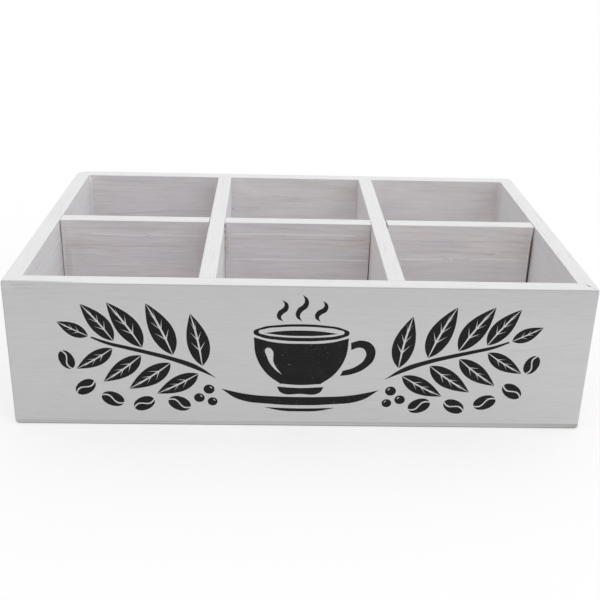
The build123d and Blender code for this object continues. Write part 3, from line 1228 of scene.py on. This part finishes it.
@dataclass(frozen=True)
class DividerGrid:
    """The long divider and the two cross dividers that it laps with."""

    def build(self) -> None:
        """Dresses the dividers."""
        long = Whitewash(
            "long_divider_whitewash", Grain.ALONG_X, 401.0, heart=(12.0, -58.0), ring=3.0,
            taper=0.012, thin=0.842, warmth=0.42, bare_cuts=0.6,
            marks=DIVIDER_MARKS, lines=DIVIDER_LINES,
        )
        left = Whitewash(
            "left_cross_divider_whitewash", Grain.ALONG_Y, 503.0, heart=(10.0, -90.0),
            thin=1.0, warmth=0.2, second_coat=0.9,
            marks=(Blot((-44.78, 0.5, 36.0), (1.0, 4.5, 50.0), Tone.BARE, 0.6, 0.1),),
        )
        right = Whitewash(
            "right_cross_divider_whitewash", Grain.ALONG_Y, 617.0, heart=(95.0, 96.0),
            thin=0.915, warmth=0.75,
            marks=(
                Blot((43.88, 0.5, 36.0), (1.0, 5.0, 50.0), Tone.BARE, 0.6, 0.1),
                Blot((43.88, 0.5, 30.0), (1.0, 4.8, 28.0), Tone.DARK, 0.7, 0.1),
            ),
        )
        dress("long_divider", long)
        dress("left_cross_divider", left)
        dress("right_cross_divider", right)


@dataclass(frozen=True)
class BaseAndBrads:
    """The plywood base and every brad."""

    def build(self) -> None:
        """Dresses the base and the brads."""
        dress("base_panel", Plywood("painted_plywood"))
        for kind in ("corner", "cross_divider", "long_divider", "base"):
            dress(f"{kind}_brads", BareSteel(f"{kind}_brads_wire"))


@dataclass(frozen=True)
class GlueBead:
    """Squeezed-out glue in an upright corner at the back.

    Attributes:
        name: The bead's name.
        finish: What it is finished with.
        corner: Where the two boards meet.
        low: Its lower end.
        high: Its upper end.
        radius: Its radius.
        steps: How many rings it is made of.
        sides: Corners of each ring.
        seed: Seed of its unevenness.
    """

    name: str = "right_glue_bead"
    finish: PaintedGlue = PaintedGlue("painted_glue")
    corner: Point = (WALL_INNER_X, WALL_INNER_Y)
    low: float = 6.0
    high: float = 81.2
    radius: float = 1.0
    steps: int = 34
    sides: int = 12
    seed: int = 5

    foot_share = 0.35
    tip_share = 0.3
    ring_shares = (0.78, 1.12)

    def build(self) -> bpy.types.Object:
        """Models the bead and lets it ride on the box.

        Returns:
            The bead.
        """
        chance = random.Random(self.seed)
        shape = bmesh.new()
        width = self.radius * self.foot_share
        foot = bmesh.ops.create_circle(shape, cap_ends=True, segments=self.sides, radius=width)
        bmesh.ops.translate(shape, vec=Vector((*self.corner, self.low)), verts=foot["verts"])
        end = shape.faces[:]
        bmesh.ops.reverse_faces(shape, faces=end)
        rise = (self.high - self.low) / self.steps
        centre = Matrix.Translation((-self.corner[0], -self.corner[1], 0))
        for step in range(1, self.steps + 1):
            wanted = self.radius * chance.uniform(*self.ring_shares)
            if step == self.steps:
                wanted = self.radius * self.tip_share
            grown = bmesh.ops.extrude_face_region(shape, geom=end)["geom"]
            bmesh.ops.delete(shape, geom=end, context="FACES_ONLY")
            end = [item for item in grown if isinstance(item, bmesh.types.BMFace)]
            verts = [item for item in grown if isinstance(item, bmesh.types.BMVert)]
            share = wanted / width
            bmesh.ops.translate(shape, vec=(0, 0, rise), verts=verts)
            bmesh.ops.scale(shape, vec=(share, share, 1), verts=verts, space=centre)
            width = wanted
        piece = add_piece(self.name, shape, self.finish)
        piece.data.shade_smooth()
        return piece


@dataclass(frozen=True)
class Shape:
    """One closed shape of the motif, as it lies on the front.

    Attributes:
        outline: Its points, in order.
        corners: Which of them are sharp.
        openings: Shapes left open in it.
    """

    outline: tuple[Point, ...]
    corners: frozenset[int] = frozenset()
    openings: tuple["Shape", ...] = ()

    def moved(self, at: Point, turn: float = 0.0) -> "Shape":
        """A copy put somewhere else.

        Args:
            at: Where its own origin goes.
            turn: How far it is turned, in degrees.

        Returns:
            The copy.
        """
        c, s = math.cos(math.radians(turn)), math.sin(math.radians(turn))
        points = tuple((at[0] + c * x - s * y, at[1] + s * x + c * y) for x, y in self.outline)
        return Shape(points, self.corners, tuple(o.moved(at, turn) for o in self.openings))

    def mirrored(self) -> "Shape":
        """A copy mirrored from left to right."""
        points = tuple((-x, y) for x, y in self.outline)
        return Shape(points, self.corners, tuple(o.mirrored() for o in self.openings))


def even(half: Sequence[Point], corners: Sequence[int], *openings: Shape) -> Shape:
    """A shape that is the same at its left and its right.

    Args:
        half: Its right half's points, from the middle of its top to the middle of its foot.
        corners: Which of them are sharp.
        openings: Shapes left open in it.

    Returns:
        The shape.
    """
    points = (*half, *((-x, y) for x, y in half[-2:0:-1]))
    mirrored = {len(points) - i for i in corners}
    return Shape(points, frozenset({*corners, *mirrored}), openings)


def oval(half_width: float, half_height: float, at: Point = (0.0, 0.0), count: int = 8) -> Shape:
    """An ellipse.

    Args:
        half_width: Half its width.
        half_height: Half its height.
        at: Its middle.
        count: How many points it has.

    Returns:
        The ellipse.
    """
    turns = [2 * math.pi * i / count for i in range(count)]
    points = [(half_width * math.cos(t), half_height * math.sin(t)) for t in turns]
    return Shape(tuple((at[0] + x, at[1] + y) for x, y in points))


def stroke(path: Sequence[Point], widths: Sequence[float]) -> Shape:
    """A brush stroke whose width changes along its path.

    Args:
        path: Points along its middle.
        widths: Its width at each point. A width of 0 at an end makes a tip.

    Returns:
        The stroke.
    """
    left, right = [], []
    last = len(path) - 1
    for i, (x, y) in enumerate(path):
        before, after = path[max(i - 1, 0)], path[min(i + 1, last)]
        run = math.hypot(after[0] - before[0], after[1] - before[1])
        nx, ny = -(after[1] - before[1]) / run, (after[0] - before[0]) / run
        half = widths[i] / 2
        left.append((x + nx * half, y + ny * half))
        if half:
            right.append((x - nx * half, y - ny * half))
    corners = {0} if not widths[0] else {0, len(left) + len(right) - 1}
    corners |= {last} if not widths[-1] else {last, last + 1}
    return Shape(tuple(left + right[::-1]), frozenset(corners))


@dataclass(frozen=True)
class FrontMotif:
    """A cup and saucer between two coffee sprigs, painted through a stencil on the front.

    Attributes:
        thickness: The paint's thickness, with what lies in the board's pores.
        proud: How far it stands out of the board.
        stalk: Distance from the stem's middle to a leaf's foot.
    """

    thickness: float = 0.12
    proud: float = 0.03
    stalk: float = 3.0

    # The stem's points and widths, and each leaf's place along it, its length and its spread
    stem = (
        (44.5, 29.0), (55.5, 35.4), (67.0, 39.8), (79.0, 43.2),
        (91.0, 46.2), (101.0, 48.8), (109.0, 52.0),
    )
    stem_widths = (0.0, 2.6, 2.4, 2.2, 2.0, 1.7, 0.9)
    upper_leaves = ((8.0, 30.5, 54.0), (24.0, 32.0, 50.0), (40.0, 30.5, 47.0), (55.0, 26.0, 43.0))
    lower_leaves = ((8.0, 25.0, -64.0), (24.0, 27.0, -61.0), (40.0, 25.5, -57.0), (55.0, 22.5, -52.0))
    leaf_width_share = 0.38
    leaf_bend = 0.09
    edge_shares = (0.12, 0.28, 0.46, 0.64, 0.80, 0.91)
    vein_shares = (0.70, 0.50, 0.30)
    rib_share = 0.045
    vein_reach = 0.17
    last_vein_tip = 0.94
    vein_depth = 0.66
    vein_width = 0.035
    glint_shares = ((-0.58, 0.08), (-0.44, 0.44), (-0.06, 0.62), (-0.28, 0.30))
    merge_distance = 0.004

    # The leaf at the stem's tip, and each cherry's middle and radius
    tip_leaf_place = (110.4, 52.6)
    tip_leaf_turn = 25.0
    tip_leaf_length = 17.5
    tip_leaf_width = 7.4
    tip_leaf_bend = 0.04
    cherry_sizes = ((48.4, 22.2, 2.9), (53.6, 17.0, 2.8), (46.6, 14.8, 2.6))

    def cup(self) -> list[Shape]:
        """The cup with its handle, the coffee in it and the saucer."""
        rim = replace(oval(25.0, 4.9, (0, 56.0), 12), openings=(oval(22.3, 3.2, (0, 56.3), 12),))
        coffee = even(((0.0, 57.3), (10.0, 56.9), (19.2, 55.6), (10.0, 54.5), (0.0, 54.2)), (2,))
        shine = Shape(
            ((-18.4, 46.8), (-15.6, 46.4), (-14.2, 38.2), (-9.8, 31.2), (-15.0, 36.2), (-17.8, 41.8)),
            frozenset({3}),
        )
        side = ((24.8, 53.1), (23.4, 41.8), (18.0, 32.0), (10.8, 26.0), (0.0, 25.3))
        body = even(((0.0, 49.7), (15.0, 50.5), *side), (2, 5), shine)
        outer = ((26.0, 50.6), (31.6, 52.0), (37.6, 49.2), (38.8, 42.4), (34.4, 36.0), (27.4, 32.2))
        inner = ((22.2, 34.0), (28.6, 36.4), (33.6, 41.4), (33.8, 45.8), (31.2, 47.8), (26.2, 46.4))
        handle = Shape((*outer, (21.0, 31.0), *inner), frozenset({0, 6, 7, 12}))
        bowl = ((0.0, 18.0), (12.0, 18.2), (28.0, 19.4), (42.0, 22.6))
        saucer = even((*bowl, (33.0, 16.4), (15.0, 13.6), (0.0, 13.0)), (3,))
        foot = even(((0.0, 23.5), (12.4, 24.2), (10.2, 20.6), (0.0, 19.9)), (1,))
        shade = even(((0.0, 11.0), (19.0, 11.6), (10.0, 9.6), (0.0, 9.2)), (1,))
        return [rim, coffee, body, handle, saucer, foot, shade]

    def steam(self) -> list[Shape]:
        """Three curls of steam over the cup."""
        curl = ((0.0, 0.0), (-2.1, 2.9), (-1.3, 6.0), (1.7, 8.9), (2.1, 12.0), (0.2, 14.9))
        small = tuple((x * 0.95, y * 0.80) for x, y in curl)
        widths = (0.0, 2.0, 2.8, 2.7, 1.8, 0.0)
        middle = stroke(curl, widths).moved((0.0, 62.6))
        left = stroke(small, widths).moved((-9.6, 62.4), 4.0)
        right = stroke(small, widths).moved((9.6, 62.4), -4.0)
        return [middle, left, right]

    def leaf(self, length: float, width: float, bend: float) -> list[Shape]:
        """A leaf in two halves, with its middle rib and side veins left open.

        Args:
            length: Its length.
            width: Its greatest width.
            bend: How far its tip bends sideways, as a share of its length.

        Returns:
            The two halves, with the leaf's foot at the origin.
        """

        def point(side: int, t: float, off: float) -> Point:
            """A point at a share of the leaf's length, off its middle rib to one side."""
            return t * length, side * off + bend * length * t * t

        def swell(t: float) -> float:
            """Half the leaf's width at a share of its length."""
            return width / 2 * math.sin(math.pi * t**0.82) ** 0.9

        halves = []
        for side in (1, -1):
            edge = [(t, swell(t)) for t in self.edge_shares]
            outline = [point(side, t, off) for t, off in ((0.0, 0.14), *edge, (1.0, 0.06))]
            corners = {0, len(outline) - 1}
            gap = self.rib_share * width
            for t in self.vein_shares:
                tip = min(t + self.vein_reach, self.last_vein_tip)
                deepest = (tip, swell(tip) * self.vein_depth)
                for share, off in ((t + self.vein_width, gap), deepest, (t, gap)):
                    corners.add(len(outline))
                    outline.append(point(side, share, off))
            halves.append(Shape(tuple(outline), frozenset(corners)))
        return halves

    def sprig(self) -> list[Shape]:
        """The right coffee sprig, with its leaves in pairs and one at its tip."""
        shapes = [stroke(self.stem, self.stem_widths)]
        for way, length, spread in self.upper_leaves + self.lower_leaves:
            (x, y), heading = self.spot(self.stem, way)
            turn = heading + spread
            angle = math.radians(turn)
            foot = (x + self.stalk * math.cos(angle), y + self.stalk * math.sin(angle))
            bend = math.copysign(self.leaf_bend, -spread)
            leaf = self.leaf(length, length * self.leaf_width_share, bend)
            shapes += [half.moved(foot, turn) for half in leaf]
        last = self.leaf(self.tip_leaf_length, self.tip_leaf_width, self.tip_leaf_bend)
        return shapes + [half.moved(self.tip_leaf_place, self.tip_leaf_turn) for half in last]

    def spot(self, path: Sequence[Point], way: float) -> tuple[Point, float]:
        """A place along a path.

        Args:
            path: The path's points.
            way: How far along it the place is.

        Returns:
            The place, and the path's heading there in degrees.
        """
        for (x0, y0), (x1, y1) in zip(path, path[1:]):
            run = math.hypot(x1 - x0, y1 - y0)
            if way <= run:
                break
            way -= run
        share = way / run
        place = (x0 + (x1 - x0) * share, y0 + (y1 - y0) * share)
        return place, math.degrees(math.atan2(y1 - y0, x1 - x0))

    def cherries(self) -> list[Shape]:
        """Three coffee cherries below the right sprig, each with its shine left open."""
        shapes = []
        for x, y, r in self.cherry_sizes:
            glint = tuple((across * r, up * r) for across, up in self.glint_shares)
            cherry = replace(oval(r, r * 0.94), openings=(Shape(glint, frozenset({0, 2})),))
            shapes.append(cherry.moved((x, y)))
        return shapes

    def bean(self, length: float) -> list[Shape]:
        """A coffee bean in two halves, with its bent crease left open.

        Args:
            length: Its length.

        Returns:
            The two halves, about the origin.
        """
        a, b = length / 2, length * 0.33
        gap = 0.035 * length
        turns = [math.radians(t) for t in (174, 150, 120, 90, 60, 30, 6)]
        upper = [(a * math.cos(t), b * math.sin(t)) for t in turns]
        shares = (0.72, 0.42, 0.14, -0.14, -0.42, -0.72)
        crease = [(a * t, 0.30 * b * math.sin(math.pi * t) + gap) for t in shares]
        half = Shape(tuple(upper + crease), frozenset({0, len(upper) - 1}))
        return [half, half.moved((0.0, 0.0), 180.0)]

    def beans(self) -> list[Shape]:
        """Five beans in a row under the right sprig and beyond it."""
        places = (
            (64.2, 13.4, 12.5, 22.0),
            (83.0, 13.2, 12.0, -26.0),
            (99.5, 15.8, 12.5, 22.0),
            (113.5, 22.8, 12.0, -36.0),
            (122.4, 38.8, 11.5, 64.0),
        )
        return [
            half.moved((x, y), turn)
            for x, y, length, turn in places
            for half in self.bean(length)
        ]

    def pour(self, shapes: Sequence[Shape]) -> bmesh.types.BMesh:
        """Fills flat shapes with paint and stands them on the front.

        Args:
            shapes: The shapes.

        Returns:
            The film of paint, in millimetres, in place.
        """
        film = bmesh.new()
        for shape in shapes:
            flat = bpy.data.curves.new("outline", "CURVE")
            flat.dimensions = "2D"
            flat.fill_mode = "BOTH"
            flat.extrude = self.thickness / 2
            for ring in (shape, *shape.openings):
                spline = flat.splines.new("BEZIER")
                spline.use_cyclic_u = True
                spline.resolution_u = 6
                spline.bezier_points.add(len(ring.outline) - 1)
                for i, (point, (x, y)) in enumerate(zip(spline.bezier_points, ring.outline)):
                    point.co = (x, y, 0.0)
                    kind = "VECTOR" if i in ring.corners else "AUTO"
                    point.handle_left_type = point.handle_right_type = kind
            holder = linked("outline", flat)
            ready = holder.evaluated_get(bpy.context.evaluated_depsgraph_get())
            mesh = bpy.data.meshes.new_from_object(ready)
            film.from_mesh(mesh)
            bpy.data.objects.remove(holder)
            bpy.data.curves.remove(flat)
            bpy.data.meshes.remove(mesh)
        bmesh.ops.remove_doubles(film, verts=film.verts, dist=self.merge_distance)
        upright = Matrix.Rotation(math.radians(90.0), 4, "X")
        depth = FRONT_FACE - self.proud + self.thickness / 2
        standing = Matrix.Translation((0, depth, 0)) @ upright
        bmesh.ops.transform(film, matrix=standing, verts=film.verts)
        return film

    def build(self) -> None:
        """Paints the cup, the steam, the sprigs, the cherries and the beans."""
        groups = {
            "painted_cup": self.cup(),
            "painted_steam": self.steam(),
            "painted_sprigs": self.both_sides(self.sprig()),
            "painted_cherries": self.both_sides(self.cherries()),
            "painted_beans": self.both_sides(self.beans()),
        }
        for name, shapes in groups.items():
            add_piece(name, self.pour(shapes), BlackPaint(f"{name}_black"))

    def both_sides(self, shapes: list[Shape]) -> list[Shape]:
        """The shapes and their mirror images."""
        return shapes + [shape.mirrored() for shape in shapes]


@dataclass(frozen=True)
class Studio:
    """A pale floor and plain soft light.

    Attributes:
        floor_half: Half the floor's width, in metres.
        sky: Strength of the light from all round.
        lamp: Strength of the large lamp overhead, as a share of white.
        lamp_angle: How wide the lamp looks, in degrees.
        lamp_tilt: How far it is tilted towards the back and to the right, in degrees.
    """

    floor_half: float = 3.0
    sky: float = 0.31
    lamp: float = 0.70
    lamp_angle: float = 140.0
    lamp_tilt: Point = (3.0, 11.0)

    def build(self) -> None:
        """Lays the floor and sets the light."""
        shape = bmesh.new()
        bmesh.ops.create_grid(shape, x_segments=1, y_segments=1, size=self.floor_half)
        floor = linked("floor", mesh_of("floor", shape))
        floor.data.materials.append(PaleFloor("studio_floor").material())

        world = bpy.data.worlds.new("studio")
        bpy.context.scene.world = world
        sheet = Sheet(world)
        glow = sheet.node("ShaderNodeBackground", {}, {"Color": (1, 1, 1, 1), "Strength": self.sky})
        white = sheet.node("ShaderNodeBackground", {}, {"Color": (1, 1, 1, 1), "Strength": 1.0})
        both = sheet.node("ShaderNodeMixShader", {}, {0: seen_directly(sheet), 1: glow, 2: white})
        sheet.node("ShaderNodeOutputWorld", {}, {"Surface": both})

        light = bpy.data.lights.new("overhead", "SUN")
        light.energy = self.lamp * math.pi
        light.angle = math.radians(self.lamp_angle)
        back, right = (math.radians(angle) for angle in self.lamp_tilt)
        linked("overhead", light).rotation_euler = (back, right, 0.0)
        log.info("studio: floor, sky and one lamp")


@dataclass(frozen=True)
class PhotoCamera:
    """The camera, where the photograph was taken from.

    Attributes:
        focal_length: Its lens, on a sensor 36 mm wide.
        place: Where it stands.
        yaw: How far it is turned to the right, in radians.
        pitch: How far it looks down.
        roll: How far it is tilted.
    """

    focal_length: float = 56.439
    place: Triple = (-15.53, -542.85, 265.56)
    yaw: float = -0.032249
    pitch: float = 0.408651
    roll: float = 0.026612

    def build(self) -> None:
        """Sets up the camera."""
        lens = bpy.data.cameras.new("photo_camera")
        lens.lens = self.focal_length
        lens.sensor_width = 36.0
        lens.clip_start = 0.01
        lens.clip_end = 100.0
        camera = linked("photo_camera", lens)
        turn = Matrix.Rotation(self.yaw, 4, "Z")
        turn = turn @ Matrix.Rotation(math.pi / 2 - self.pitch, 4, "X")
        turn = turn @ Matrix.Rotation(self.roll, 4, "Z")
        camera.matrix_world = Matrix.Translation(Vector(self.place) * MM) @ turn
        bpy.context.scene.camera = camera
        bpy.context.scene.view_settings.view_transform = "Standard"


def main() -> None:
    """Builds everything in order."""
    logging.basicConfig(level=logging.INFO, format="%(name)s: %(message)s")
    PhotoCamera().build()
    Studio().build()
    OuterWalls().build()
    DividerGrid().build()
    BaseAndBrads().build()
    GlueBead().build()
    painted_over = PaintedGlue("painted_filler", 0.05)
    GlueBead("left_glue_bead", painted_over, (-WALL_INNER_X, WALL_INNER_Y), radius=1.9, seed=11).build()
    FrontMotif().build()


if __name__ == "__main__":
    main()
